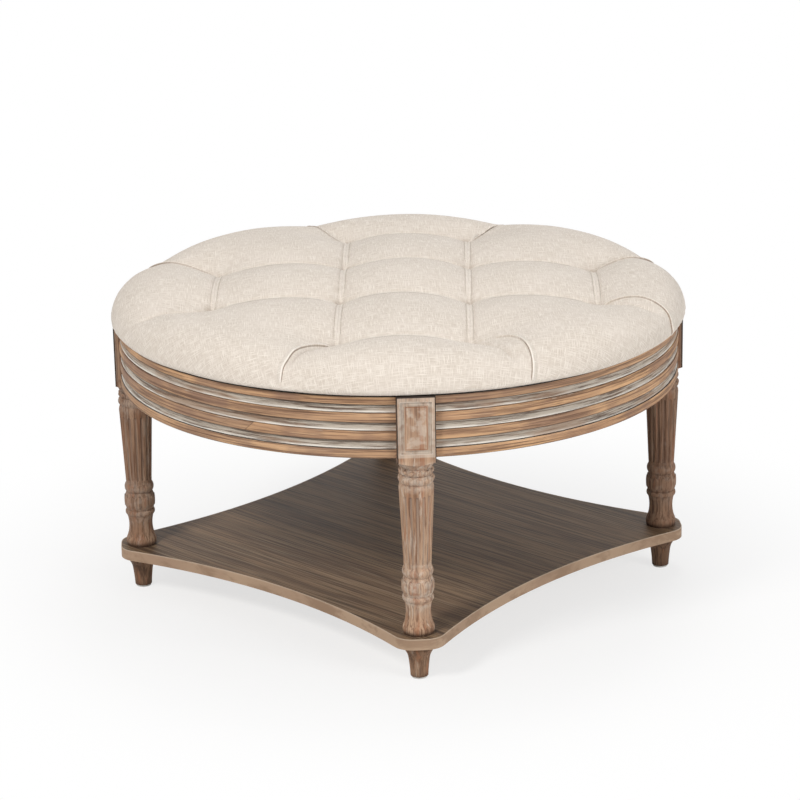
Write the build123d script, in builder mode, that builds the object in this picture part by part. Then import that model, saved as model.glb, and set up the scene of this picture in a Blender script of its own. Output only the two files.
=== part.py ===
from build123d import *
import math
import os

os.makedirs("parts", exist_ok=True)

# The table stands on its glides at z = 0, its middle on the Z axis and its four legs on the X and Y
# axes. Lengths are in millimetres. These sizes drive the whole table.
overall_height = 470.0
cushion_diameter = 800.0
cushion_height = 76.3
apron_height = 85.1
shelf_height = 63.7

# Steps in plan, from the cushion's side to the apron, out to the blocks and from the legs to the
# shelf's corners
apron_inset = 11.0
block_proud = 7.0
shelf_overhang = 29.0

# Clearances that many pieces share
cut_overrun = 2.0
glue_gap = 0.1
fit_gap = 0.1
bolt_gap = 0.35

# The cushion sits on the apron, and the legs reach from the shelf to the apron's top
apron_top = overall_height - cushion_height
apron_clearance = apron_top - apron_height
shelf_top = shelf_height
shelf_headroom = apron_clearance - shelf_top
leg_length = apron_top - shelf_top
side_turns = {"right": 0, "back": 90, "left": 180, "front": 270}
corner_turns = {"back_right": 0, "back_left": 90, "front_left": 180, "front_right": 270}

# Shelf
shelf_thickness = 15.0
veneer_thickness = 0.6
edge_band_thickness = 1.0
shelf_corner_width = 50.0
shelf_edge_hollow = 40.0
shelf_corner_round = 28.0
shelf_bottom = shelf_top - shelf_thickness

# Legs, turned from square stock
block_width = 50.0
turned_diameter = 46.0
shoulder_drop = 8.0
shoulder_rise = 5.0
panel_side_margin = 5.0
panel_end_margin = 8.0
panel_groove_width = 5.0
panel_groove_depth = 2.0
flute_count = 16
flute_width_radius = 3.4
flute_depth = 1.3
cushion_radius = cushion_diameter / 2
apron_radius = cushion_radius - apron_inset
leg_circle_radius = apron_radius + block_proud - block_width / 2
shelf_corner_radius = leg_circle_radius + shelf_overhang

# Feet and glides
foot_diameter = 40.0
glide_diameter = 21.0
glide_height = 3.0
glide_edge_radius = 1.0
glide_nail_diameter = 2.4
glide_nail_length = 12.0

# Apron ring
apron_wall = 22.0
apron_joint_gap = 0.5
cove_height = 11.6
cove_depth = 3.2
cove_lip_depth = 1.2
cove_lip_height = 1.1
crease_depth = 2.4
band_crown = 0.5
apron_edge_radius = 2.5

# Corner blocks behind the legs
corner_block_back = 31.0
corner_block_width = 150.0
corner_block_height = 55.0

# Hardware
leg_bolt_diameter = 8.0
leg_bolt_reach = 20.0
leg_bolt_spacing = 25.0
leg_bolt_drop = 15.0
bolt_head_flats = 13.0
bolt_head_height = 5.3
washer_diameter = 18.0
washer_thickness = 1.6
insert_diameter = 12.0
insert_length = 22.0
stud_grip = 20.0
corner_screw_diameter = 4.0
corner_screw_length = 60.0
corner_screw_offset = 42.0
seat_screw_diameter = 4.0
seat_screw_length = 50.0
seat_screw_offset = 62.0
seat_screw_inset = 39.0
seat_screw_bite = 9.0
screw_head_diameter = 8.0
screw_head_height = 2.6
staple_width = 10.0
staple_wire = 1.0
staple_leg = 8.0
staple_inset = 52.0
staples_per_side = 6
staple_step = 9.0

# Cushion
cover_thickness = 1.2
cover_flange_inset = 72.0
cushion_foot_inset = 14.0
cushion_belly_rise = 10.0
cushion_belly_swell = 3.0
roll_radius = 15.0
roll_sweep = 45.0
crown_edge_inset = 48.0
crown_drop = 30.0
outer_tuft_inset = 136.0
tuft_depth = 32.0
tuft_turn = -4.0
tuft_shift = 11.0
tuft_dimple_radius = 9.0
tuft_dimple_rise = 5.0
valley_floor_depth = 24.0
pleat_depth = 12.0
rim_inner_inset = 55.0
rim_foot_inset = 88.0
crown_lift = 2.0
seat_board_inset = 17.0
seat_board_thickness = 12.0
dust_cover_thickness = 0.8
dust_cover_gap = 1.0
twine_diameter = 2.5
twine_hole_diameter = 6.0
knot_diameter = 8.0
knot_height = 2.4
soft_gap = 0.3


# Leg, with its axis on Z, its base on the shelf and its panelled face towards +X

turned_radius = turned_diameter / 2
# Height as a share of the shelf headroom, radius as a share of the turned radius. Every second point
# is the middle of an arc.
vase_share = [
    (0.000, 0.870), (0.024, 0.924), (0.052, 0.848),
    (0.116, 0.717), (0.183, 0.804),
    (0.201, 0.902), (0.219, 0.815),
    (0.271, 0.935), (0.324, 0.783),
    (0.352, 0.891), (0.380, 0.783),
]
neck_share = [
    (0.806, 0.995), (0.832, 0.985), (0.847, 0.925),
    (0.877, 1.000), (0.898, 0.905),
    (0.917, 0.967), (0.936, 0.905),
]


def turned_point(share):
    return (share[1] * turned_radius, shelf_top + share[0] * shelf_headroom)


vase_points = [turned_point(share) for share in vase_share]
neck_points = [turned_point(share) for share in neck_share]
block_corner_radius = block_width / math.sqrt(2)
shoulder_low = (block_width / 2, apron_clearance - shoulder_drop)
shoulder_high = (block_corner_radius + cut_overrun, apron_clearance - shoulder_drop + shoulder_rise)
bolt_levels = [apron_top - leg_bolt_drop, apron_top - leg_bolt_drop - leg_bolt_spacing]

with BuildPart() as leg_blank:
    with BuildSketch(Plane.XZ):
        with BuildLine():
            Line((0, shelf_top), vase_points[0])
            for i in range(0, len(vase_points) - 1, 2):
                ThreePointArc(*vase_points[i:i + 3])
            Line(vase_points[-1], neck_points[0])
            for i in range(0, len(neck_points) - 1, 2):
                ThreePointArc(*neck_points[i:i + 3])
            Polyline(neck_points[-1], shoulder_low, shoulder_high, (shoulder_high[0], apron_top),
                     (0, apron_top), (0, shelf_top))
        make_face()
    revolve(axis=Axis.Z)
    # The stock is square, so its corners end the shoulder
    with BuildSketch(Plane.XY.offset(shelf_top)):
        Rectangle(block_width, block_width)
    extrude(amount=leg_length, mode=Mode.INTERSECT)

    # Flutes follow the taper of the shaft and end round
    shaft_low = Vector(vase_points[-1][0], 0, vase_points[-1][1])
    shaft_high = Vector(neck_points[0][0], 0, neck_points[0][1])
    shaft_way = (shaft_high - shaft_low).normalized()
    flute_out = flute_width_radius - flute_depth
    flute_start = shaft_low + shaft_way * (2 * flute_width_radius)
    flute_end = shaft_high - shaft_way * (2 * flute_width_radius)
    flute_shift = Vector(flute_out, 0, 0)
    flute_plane = Plane(origin=flute_start + flute_shift, z_dir=shaft_way)
    with PolarLocations(0, flute_count):
        with Locations(flute_plane.location):
            Cylinder(flute_width_radius, (flute_end - flute_start).length,
                     align=(Align.CENTER, Align.CENTER, Align.MIN), mode=Mode.SUBTRACT)
        with Locations(flute_start + flute_shift, flute_end + flute_shift):
            Sphere(flute_width_radius, mode=Mode.SUBTRACT)

    # Framed panel on the outer face
    panel_width = block_width - 2 * panel_side_margin
    panel_height = apron_height - 2 * panel_end_margin
    panel_plane = Plane(origin=(block_width / 2, 0, apron_clearance + apron_height / 2),
                        x_dir=(0, 1, 0), z_dir=(1, 0, 0))
    with BuildSketch(panel_plane):
        Rectangle(panel_width, panel_height)
        Rectangle(panel_width - 2 * panel_groove_width, panel_height - 2 * panel_groove_width,
                  mode=Mode.SUBTRACT)
    extrude(amount=-panel_groove_depth, mode=Mode.SUBTRACT)

    # Holes for the threaded inserts: two behind the corner block, one in the base
    with BuildSketch(Plane(origin=(-block_width / 2, 0, 0), x_dir=(0, 1, 0), z_dir=(1, 0, 0))):
        with Locations(*[(0, level) for level in bolt_levels]):
            Circle(insert_diameter / 2 + fit_gap)
    extrude(amount=insert_length, mode=Mode.SUBTRACT)
    with BuildSketch(Plane.XY.offset(shelf_top)):
        Circle(insert_diameter / 2 + fit_gap)
    extrude(amount=insert_length, mode=Mode.SUBTRACT)

for side, turn in side_turns.items():
    with BuildPart() as leg:
        with PolarLocations(leg_circle_radius, 1, start_angle=turn):
            add(leg_blank.part)
    leg.part.label = f"leg_{side}"
    export_step(leg.part, f"parts/leg_{side}.step")


# Foot under the shelf, its outline in shares of its height and of its top radius

foot_height = shelf_bottom - glide_height
foot_share = [
    (0.000, 0.590), (0.250, 0.630), (0.480, 0.690),
    (0.600, 0.735), (0.700, 0.810),
    (0.770, 0.905), (0.850, 0.980),
]
foot_points = [(r * foot_diameter / 2, glide_height + h * foot_height) for h, r in foot_share]

with BuildPart() as foot_blank:
    with BuildSketch(Plane.XZ):
        with BuildLine():
            Line((0, glide_height), foot_points[0])
            for i in range(0, len(foot_points) - 1, 2):
                ThreePointArc(*foot_points[i:i + 3])
            Polyline(foot_points[-1], (foot_diameter / 2, shelf_bottom), (0, shelf_bottom),
                     (0, glide_height))
        make_face()
    revolve(axis=Axis.Z)
    with BuildSketch(Plane.XY.offset(shelf_bottom - stud_grip - fit_gap)):
        Circle(leg_bolt_diameter / 2 + fit_gap)
    extrude(amount=stud_grip + fit_gap, mode=Mode.SUBTRACT)
    with BuildSketch(Plane.XY.offset(glide_height)):
        Circle(glide_nail_diameter / 2 + fit_gap)
    extrude(amount=glide_nail_length + fit_gap, mode=Mode.SUBTRACT)

for side, turn in side_turns.items():
    with BuildPart() as foot:
        with PolarLocations(leg_circle_radius, 1, start_angle=turn):
            add(foot_blank.part)
    foot.part.label = f"foot_{side}"
    export_step(foot.part, f"parts/foot_{side}.step")


# Nail-on glide under each foot

with BuildPart() as glide_blank:
    Cylinder(glide_diameter / 2, glide_height, align=(Align.CENTER, Align.CENTER, Align.MIN))
    fillet(glide_blank.edges().group_by(Axis.Z)[0], glide_edge_radius)
    with Locations((0, 0, glide_height)):
        Cylinder(glide_nail_diameter / 2, glide_nail_length,
                 align=(Align.CENTER, Align.CENTER, Align.MIN))

for side, turn in side_turns.items():
    with BuildPart() as glide:
        with PolarLocations(leg_circle_radius, 1, start_angle=turn):
            add(glide_blank.part)
    glide.part.label = f"glide_{side}"
    export_step(glide.part, f"parts/glide_{side}.step")


# Shelf: a core with four hollow sides and blunt corners under the legs, its edge banded and its top
# veneered

corner_half_angle = math.degrees(math.asin(shelf_corner_width / 2 / shelf_corner_radius))


def shelf_outline():
    """Four blunt corners on the corner radius, joined by hollow arcs."""
    for turn in side_turns.values():
        corner = CenterArc((0, 0), shelf_corner_radius, turn - corner_half_angle,
                           2 * corner_half_angle)
        side_start = corner @ 1
        side_end = side_start.rotate(Axis.Z, 90 - 2 * corner_half_angle)
        side_middle = (side_start + side_end) / 2
        inward = side_middle.normalized() * shelf_edge_hollow
        ThreePointArc(side_start, side_middle - inward, side_end)


with BuildSketch() as sharp_shelf_shape:
    with BuildLine():
        shelf_outline()
    make_face()

with BuildSketch() as shelf_shape:
    add(sharp_shelf_shape.sketch)
    fillet(shelf_shape.vertices(), shelf_corner_round)

with BuildSketch() as shelf_core_shape:
    add(sharp_shelf_shape.sketch)
    offset(amount=-edge_band_thickness, kind=Kind.INTERSECTION)
    fillet(shelf_core_shape.vertices(), shelf_corner_round - edge_band_thickness)

with BuildPart() as shelf_panel:
    with BuildSketch(Plane.XY.offset(shelf_bottom)):
        add(shelf_core_shape.sketch)
        with PolarLocations(leg_circle_radius, len(side_turns)):
            Circle(leg_bolt_diameter / 2 + bolt_gap, mode=Mode.SUBTRACT)
    extrude(amount=shelf_thickness - veneer_thickness)
shelf_panel.part.label = "shelf_panel"
export_step(shelf_panel.part, "parts/shelf_panel.step")

with BuildPart() as shelf_veneer:
    with BuildSketch(Plane.XY.offset(shelf_top - veneer_thickness)):
        add(shelf_core_shape.sketch)
        with PolarLocations(leg_circle_radius, len(side_turns)):
            Circle(leg_bolt_diameter / 2 + bolt_gap, mode=Mode.SUBTRACT)
    extrude(amount=veneer_thickness)
shelf_veneer.part.label = "shelf_veneer"
export_step(shelf_veneer.part, "parts/shelf_veneer.step")

with BuildPart() as shelf_edge_band:
    with BuildSketch(Plane.XY.offset(shelf_bottom)):
        add(shelf_shape.sketch)
        add(shelf_core_shape.sketch, mode=Mode.SUBTRACT)
    extrude(amount=shelf_thickness)
shelf_edge_band.part.label = "shelf_edge_band"
export_step(shelf_edge_band.part, "parts/shelf_edge_band.step")


# Apron: four moulded segments between the leg blocks, with proud bands and hollow coves

cove_count = 3
band_height = (apron_height - cove_count * cove_height) / (cove_count + 1)
apron_inner_radius = apron_radius - apron_wall


def band_face(high, low):
    ThreePointArc((apron_radius, high), (apron_radius + band_crown, (high + low) / 2),
                  (apron_radius, low))


with BuildPart() as apron_blank:
    with BuildSketch(Plane.XZ):
        with BuildLine():
            Polyline((apron_inner_radius, apron_clearance), (apron_inner_radius, apron_top),
                     (apron_radius, apron_top))
            for i in range(cove_count):
                band_high = apron_top - i * (band_height + cove_height)
                cove_high = band_high - band_height
                cove_low = cove_high - cove_height
                lip_level = cove_low + cove_lip_height
                band_face(band_high, cove_high)
                Line((apron_radius, cove_high), (apron_radius - cove_depth, cove_high))
                ThreePointArc((apron_radius - cove_depth, cove_high),
                              (apron_radius - cove_depth, (cove_high + lip_level) / 2),
                              (apron_radius - cove_lip_depth, lip_level))
                Polyline((apron_radius - cove_lip_depth, lip_level),
                         (apron_radius - crease_depth, cove_low), (apron_radius, cove_low))
            band_face(apron_clearance + band_height, apron_clearance + apron_edge_radius)
            edge_point = (apron_radius - apron_edge_radius, apron_clearance)
            RadiusArc((apron_radius, apron_clearance + apron_edge_radius), edge_point,
                      apron_edge_radius)
            Line(edge_point, (apron_inner_radius, apron_clearance))
        make_face()
    revolve(axis=Axis.Z, revolution_arc=90)
    with BuildSketch(Plane.XY.offset(apron_clearance)):
        with PolarLocations(apron_radius, len(side_turns)):
            Rectangle(block_width * 2, block_width + 2 * apron_joint_gap)
    extrude(amount=apron_height, mode=Mode.SUBTRACT)

corner_screw_places = [(side * corner_screw_offset, level)
                       for side in (-1, 1) for level in bolt_levels]
corner_block_face = -block_width / 2 - corner_block_back

for corner, turn in corner_turns.items():
    with BuildPart() as apron:
        add(apron_blank.part, rotation=(0, 0, turn))
        for leg_turn in side_turns.values():
            screw_plane = Plane.YZ.rotated((0, 0, leg_turn))
            reach = leg_circle_radius + corner_block_face
            with BuildSketch(screw_plane.offset(reach)):
                with Locations(*corner_screw_places):
                    Circle(corner_screw_diameter / 2 + fit_gap)
            extrude(amount=corner_screw_length + fit_gap, mode=Mode.SUBTRACT)
    apron.part.label = f"apron_{corner}"
    export_step(apron.part, f"parts/apron_{corner}.step")


# Corner block behind each leg: notched for the leg, glued and screwed to both apron segments

seat_screw_place = [(-seat_screw_inset, side * seat_screw_offset) for side in (-1, 1)]
seat_screw_sink = corner_block_height + cover_thickness + seat_screw_bite - seat_screw_length

with BuildPart() as corner_blank:
    with BuildSketch(Plane.XY.offset(apron_top - corner_block_height)):
        with Locations((corner_block_face, 0)):
            Rectangle(corner_block_back + block_width, corner_block_width,
                      align=(Align.MIN, Align.CENTER))
        with Locations((-block_width / 2, 0)):
            Rectangle(2 * block_width, block_width + 2 * apron_joint_gap,
                      align=(Align.MIN, Align.CENTER), mode=Mode.SUBTRACT)
        with Locations((-leg_circle_radius, 0)):
            Circle(apron_inner_radius - glue_gap, mode=Mode.INTERSECT)
    extrude(amount=corner_block_height)
    with BuildSketch(Plane.YZ.offset(corner_block_face)):
        with Locations(*[(0, level) for level in bolt_levels]):
            Circle(leg_bolt_diameter / 2 + bolt_gap)
        with Locations(*corner_screw_places):
            Circle(corner_screw_diameter / 2 + bolt_gap)
    extrude(amount=corner_block_back + block_width, mode=Mode.SUBTRACT)
    with BuildSketch(Plane.XY.offset(apron_top - corner_block_height)):
        with Locations(*seat_screw_place):
            Circle(seat_screw_diameter / 2 + bolt_gap)
    extrude(amount=corner_block_height, mode=Mode.SUBTRACT)
    with BuildSketch(Plane.XY.offset(apron_top - corner_block_height)):
        with Locations(*seat_screw_place):
            Circle(screw_head_diameter / 2 + bolt_gap)
    extrude(amount=seat_screw_sink, mode=Mode.SUBTRACT)

for side, turn in side_turns.items():
    with BuildPart() as corner_block:
        with PolarLocations(leg_circle_radius, 1, start_angle=turn):
            add(corner_blank.part)
    corner_block.part.label = f"corner_block_{side}"
    export_step(corner_block.part, f"parts/corner_block_{side}.step")


# Leg bolts, washers and inserts, two for each leg

bolt_seat = corner_block_face - washer_thickness
bolt_tip = -block_width / 2 + leg_bolt_reach

with BuildPart() as bolts_at_leg:
    with BuildSketch(Plane.YZ.offset(bolt_seat - bolt_head_height)):
        with Locations(*[(0, level) for level in bolt_levels]):
            RegularPolygon(bolt_head_flats / 2, 6, major_radius=False)
    extrude(amount=bolt_head_height)
    with BuildSketch(Plane.YZ.offset(bolt_seat)):
        with Locations(*[(0, level) for level in bolt_levels]):
            Circle(leg_bolt_diameter / 2)
    extrude(amount=bolt_tip - bolt_seat)

with BuildPart() as washers_at_leg:
    with BuildSketch(Plane.YZ.offset(bolt_seat)):
        with Locations(*[(0, level) for level in bolt_levels]):
            Circle(washer_diameter / 2)
            Circle(leg_bolt_diameter / 2 + bolt_gap, mode=Mode.SUBTRACT)
    extrude(amount=washer_thickness)

with BuildPart() as inserts_at_leg:
    with BuildSketch(Plane.YZ.offset(-block_width / 2)):
        with Locations(*[(0, level) for level in bolt_levels]):
            Circle(insert_diameter / 2)
            Circle(leg_bolt_diameter / 2 + fit_gap, mode=Mode.SUBTRACT)
    extrude(amount=insert_length)

with BuildPart() as leg_bolts:
    with PolarLocations(leg_circle_radius, len(side_turns)):
        add(bolts_at_leg.part)
leg_bolts.part.label = "leg_bolts"
export_step(leg_bolts.part, "parts/leg_bolts.step")

with BuildPart() as leg_washers:
    with PolarLocations(leg_circle_radius, len(side_turns)):
        add(washers_at_leg.part)
leg_washers.part.label = "leg_washers"
export_step(leg_washers.part, "parts/leg_washers.step")

with BuildPart() as leg_inserts:
    with PolarLocations(leg_circle_radius, len(side_turns)):
        add(inserts_at_leg.part)
leg_inserts.part.label = "leg_inserts"
export_step(leg_inserts.part, "parts/leg_inserts.step")


# Studs that clamp the shelf between foot and leg, and the inserts they screw into

with BuildPart() as foot_studs:
    with BuildSketch(Plane.XY.offset(shelf_bottom - stud_grip)):
        with PolarLocations(leg_circle_radius, len(side_turns)):
            Circle(leg_bolt_diameter / 2)
    extrude(amount=stud_grip + shelf_thickness + stud_grip)
foot_studs.part.label = "foot_studs"
export_step(foot_studs.part, "parts/foot_studs.step")

with BuildPart() as stud_inserts:
    with BuildSketch(Plane.XY.offset(shelf_top)):
        with PolarLocations(leg_circle_radius, len(side_turns)):
            Circle(insert_diameter / 2)
            Circle(leg_bolt_diameter / 2 + fit_gap, mode=Mode.SUBTRACT)
    extrude(amount=insert_length)
stud_inserts.part.label = "stud_inserts"
export_step(stud_inserts.part, "parts/stud_inserts.step")


# Screws from the corner blocks into the apron, and up into the seat board

with BuildPart() as corner_screws_at_leg:
    with BuildSketch(Plane.YZ.offset(corner_block_face - screw_head_height)):
        with Locations(*corner_screw_places):
            Circle(screw_head_diameter / 2)
    extrude(amount=screw_head_height)
    with BuildSketch(Plane.YZ.offset(corner_block_face)):
        with Locations(*corner_screw_places):
            Circle(corner_screw_diameter / 2)
    extrude(amount=corner_screw_length)

with BuildPart() as corner_screws:
    with PolarLocations(leg_circle_radius, len(side_turns)):
        add(corner_screws_at_leg.part)
corner_screws.part.label = "corner_screws"
export_step(corner_screws.part, "parts/corner_screws.step")

seat_screw_seat = apron_top - corner_block_height + seat_screw_sink

with BuildPart() as seat_screws_at_leg:
    with BuildSketch(Plane.XY.offset(seat_screw_seat - screw_head_height)):
        with Locations(*seat_screw_place):
            Circle(screw_head_diameter / 2)
    extrude(amount=screw_head_height)
    with BuildSketch(Plane.XY.offset(seat_screw_seat)):
        with Locations(*seat_screw_place):
            Circle(seat_screw_diameter / 2)
    extrude(amount=seat_screw_length)

with BuildPart() as seat_screws:
    with PolarLocations(leg_circle_radius, len(side_turns)):
        add(seat_screws_at_leg.part)
seat_screws.part.label = "seat_screws"
export_step(seat_screws.part, "parts/seat_screws.step")


# Cushion form: equal round puffs stand square to a domed crown on a square grid. Where puffs meet they
# make the sewn valleys, and where four meet, a tuft. A rolled rim lies under the outer puffs.

belly_level = apron_top + cushion_belly_rise
crown_edge_radius = cushion_radius - crown_edge_inset
rim_inner_radius = cushion_radius - rim_inner_inset
rim_foot_radius = cushion_radius - rim_foot_inset
crown_radius = (crown_edge_radius ** 2 + crown_drop ** 2) / (2 * crown_drop)
crown_centre = Vector(0, 0, overall_height - crown_radius)
# The outer tufts stand one and a half pitches from the middle
tuft_pitch = (cushion_radius - outer_tuft_inset) / 1.5
puff_radius = tuft_pitch ** 2 / (4 * tuft_depth)
puff_skirt_share = 0.693
puff_skirt_radius = puff_skirt_share * tuft_pitch


def grid_place(i, j):
    """Plan position of a grid point, in half pitches, turned and shifted as the cushion is sewn."""
    place = Vector(i * tuft_pitch / 2, j * tuft_pitch / 2, 0)
    return place.rotate(Axis.Z, tuft_turn) + Vector(tuft_shift, 0, 0)


def crown_plane(place, depth):
    """Plane square to the crown at a plan position, a depth below it."""
    rise = math.sqrt(crown_radius ** 2 - place.X ** 2 - place.Y ** 2)
    way = Vector(place.X, place.Y, rise).normalized()
    return Plane(origin=crown_centre + way * (crown_radius - depth), z_dir=way)


def crown_point(radius, depth):
    """Point of the crown's own section, a depth below it."""
    point = crown_plane(Vector(radius, 0, 0), depth).origin
    return (point.X, point.Z)


puff_planes = [crown_plane(grid_place(2 * i, 2 * j), puff_radius)
               for i in range(-2, 3) for j in range(-2, 3) if abs(i) + abs(j) <= 2]
tuft_planes = [crown_plane(grid_place(i, j), valley_floor_depth - tuft_dimple_rise)
               for i in range(-3, 4, 2) for j in range(-3, 4, 2) if abs(i) + abs(j) < 6]


def cushion_side(inset):
    """Underside, drawn-in foot and rolled edge, set in from the cover's outer face."""
    foot = (cushion_radius - cushion_foot_inset - inset, apron_top + inset)
    belly = (cushion_radius - inset, belly_level)
    swell = ((foot[0] + belly[0]) / 2 + cushion_belly_swell, (foot[1] + belly[1]) / 2)
    Line((0, apron_top + inset), foot)
    ThreePointArc(foot, swell, belly)
    return JernArc(belly, (0, 1), roll_radius - inset, roll_sweep)


def crown_section(inset):
    """Section that trims the puffs at the rolled edge and clears their tops."""
    depth = inset - crown_lift
    edge = crown_point(crown_edge_radius, depth)
    roll = cushion_side(inset)
    TangentArc(roll @ 1, edge, tangent=roll % 1)
    ThreePointArc(edge, crown_point(crown_edge_radius / 2, depth), crown_point(0, depth))
    Line(crown_point(0, depth), (0, apron_top + inset))


def base_section(inset):
    """Section under the puffs: the rim, its inner slope and the floor of the valleys."""
    rim = crown_point(rim_inner_radius, pleat_depth + inset)
    floor_depth = valley_floor_depth + inset
    floor_edge = crown_point(rim_foot_radius, floor_depth)
    roll = cushion_side(inset)
    TangentArc(roll @ 1, rim, tangent=roll % 1)
    Line(rim, floor_edge)
    ThreePointArc(floor_edge, crown_point(rim_foot_radius / 2, floor_depth), crown_point(0, floor_depth))
    Line(crown_point(0, floor_depth), (0, apron_top + inset))


def tufted_form(inset):
    """The stuffed shape, every face set in by the same distance."""
    with BuildPart() as crown:
        with BuildSketch(Plane.XZ):
            with BuildLine():
                crown_section(inset)
            make_face()
        revolve(axis=Axis.Z)
    with BuildPart() as puff:
        with BuildSketch(Plane.XZ):
            with BuildLine():
                radius = puff_radius - inset
                cap_angle = math.degrees(math.asin(puff_skirt_radius / radius))
                cap = CenterArc((0, 0), radius, 90 - cap_angle, cap_angle)
                Polyline(cap @ 1, (0, (cap @ 0).Y), cap @ 0)
            make_face()
        revolve(axis=Axis.Z)
    with BuildPart() as form:
        with BuildSketch(Plane.XZ):
            with BuildLine():
                base_section(inset)
            make_face()
        revolve(axis=Axis.Z)
        with Locations(*puff_planes):
            add(puff.part)
        add(crown.part, mode=Mode.INTERSECT)
        with Locations(*tuft_planes):
            Sphere(tuft_dimple_radius + inset, mode=Mode.SUBTRACT)
    return form.part


# Seat board, drilled for the tufting twine, the seat screws and the staples

seat_board_level = apron_top + cover_thickness
seat_board_radius = cushion_radius - seat_board_inset
cover_flange_radius = cushion_radius - cover_flange_inset
staple_circle_radius = cushion_radius - staple_inset
seat_board_top = seat_board_level + seat_board_thickness
tuft_places = [(plane.origin.X, plane.origin.Y) for plane in tuft_planes]
knot_recess = knot_height + fit_gap
staple_turns = [quarter * 90 + 45 + (i - (staples_per_side - 1) / 2) * staple_step
                for quarter in range(4) for i in range(staples_per_side)]
staple_legs = [Vector(staple_circle_radius, end * (staple_width - staple_wire) / 2, 0)
               .rotate(Axis.Z, turn) for turn in staple_turns for end in (-1, 1)]

with BuildPart() as seat_board:
    with BuildSketch(Plane.XY.offset(seat_board_level)):
        Circle(seat_board_radius)
        with Locations(*tuft_places):
            Circle(twine_hole_diameter / 2, mode=Mode.SUBTRACT)
    extrude(amount=seat_board_thickness)
    with BuildSketch(Plane.XY.offset(seat_board_level)):
        with Locations(*tuft_places):
            Circle(knot_diameter / 2 + bolt_gap)
    extrude(amount=knot_recess, mode=Mode.SUBTRACT)
    with BuildSketch(Plane.XY.offset(seat_board_level)):
        with PolarLocations(leg_circle_radius, len(side_turns)):
            with Locations(*seat_screw_place):
                Circle(seat_screw_diameter / 2 + fit_gap)
    extrude(amount=seat_screw_bite + fit_gap, mode=Mode.SUBTRACT)
    with BuildSketch(Plane.XY.offset(seat_board_level)):
        with Locations(*staple_legs):
            Circle(staple_wire / 2 + fit_gap)
    extrude(amount=staple_leg - cover_thickness + fit_gap, mode=Mode.SUBTRACT)
seat_board.part.label = "seat_board"
export_step(seat_board.part, "parts/seat_board.step")


# Cover: a thin shell over the stuffed shape, turned under the board in a flat flange

with BuildPart() as cushion_cover:
    add(tufted_form(0))
    add(tufted_form(cover_thickness), mode=Mode.SUBTRACT)
    with BuildSketch(Plane.XY.offset(apron_top)):
        Circle(cover_flange_radius)
    extrude(amount=cover_thickness, mode=Mode.SUBTRACT)
    with BuildSketch(Plane.XY.offset(apron_top)):
        with PolarLocations(leg_circle_radius, len(side_turns)):
            with Locations(*seat_screw_place):
                Circle(seat_screw_diameter / 2 + bolt_gap)
        with Locations(*staple_legs):
            Circle(staple_wire / 2 + fit_gap)
    extrude(amount=cover_thickness, mode=Mode.SUBTRACT)
cushion_cover.part.label = "cushion_cover"
export_step(cushion_cover.part, "parts/cushion_cover.step")


# Foam: fills the cover, with a skirt round the board's edge and a hole for each twine

with BuildPart() as cushion_foam:
    add(tufted_form(cover_thickness + soft_gap))
    with BuildSketch(Plane.XY.offset(apron_top)):
        Circle(seat_board_radius + soft_gap)
    extrude(amount=seat_board_top - apron_top, mode=Mode.SUBTRACT)
    with BuildSketch(Plane.XY.offset(apron_top)):
        with Locations(*tuft_places):
            Circle(twine_hole_diameter / 2)
    extrude(amount=overall_height - apron_top, mode=Mode.SUBTRACT)
cushion_foam.part.label = "cushion_foam"
export_step(cushion_foam.part, "parts/cushion_foam.step")


# Tufting twine: one draw for each tuft, knotted in a recess under the board

with BuildPart() as tufting_twine:
    for plane in tuft_planes:
        twine_top = plane.origin.Z - tuft_dimple_radius - cover_thickness - soft_gap
        with Locations((plane.origin.X, plane.origin.Y, seat_board_level + fit_gap)):
            Cylinder(knot_diameter / 2, knot_height, align=(Align.CENTER, Align.CENTER, Align.MIN))
            Cylinder(twine_diameter / 2, twine_top - seat_board_level - fit_gap,
                     align=(Align.CENTER, Align.CENTER, Align.MIN))
tufting_twine.part.label = "tufting_twine"
export_step(tufting_twine.part, "parts/tufting_twine.step")


# Dust cover stapled inside the flange, under the board

with BuildPart() as dust_cover:
    with BuildSketch(Plane.XY.offset(seat_board_level - dust_cover_thickness)):
        Circle(cover_flange_radius - dust_cover_gap)
    extrude(amount=dust_cover_thickness)
dust_cover.part.label = "dust_cover"
export_step(dust_cover.part, "parts/dust_cover.step")


# Staples through the flange into the board

with BuildPart() as cover_staples:
    with BuildSketch(Plane.XY.offset(apron_top - staple_wire)):
        for turn in staple_turns:
            with PolarLocations(staple_circle_radius, 1, start_angle=turn):
                Rectangle(staple_wire, staple_width)
    extrude(amount=staple_wire)
    with BuildSketch(Plane.XY.offset(apron_top)):
        with Locations(*staple_legs):
            Circle(staple_wire / 2)
    extrude(amount=staple_leg)
cover_staples.part.label = "cover_staples"
export_step(cover_staples.part, "parts/cover_staples.step")
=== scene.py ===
import math

import bmesh
import bpy
import numpy as np
from mathutils import Matrix, Vector, noise
from mathutils.bvhtree import BVHTree


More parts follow.
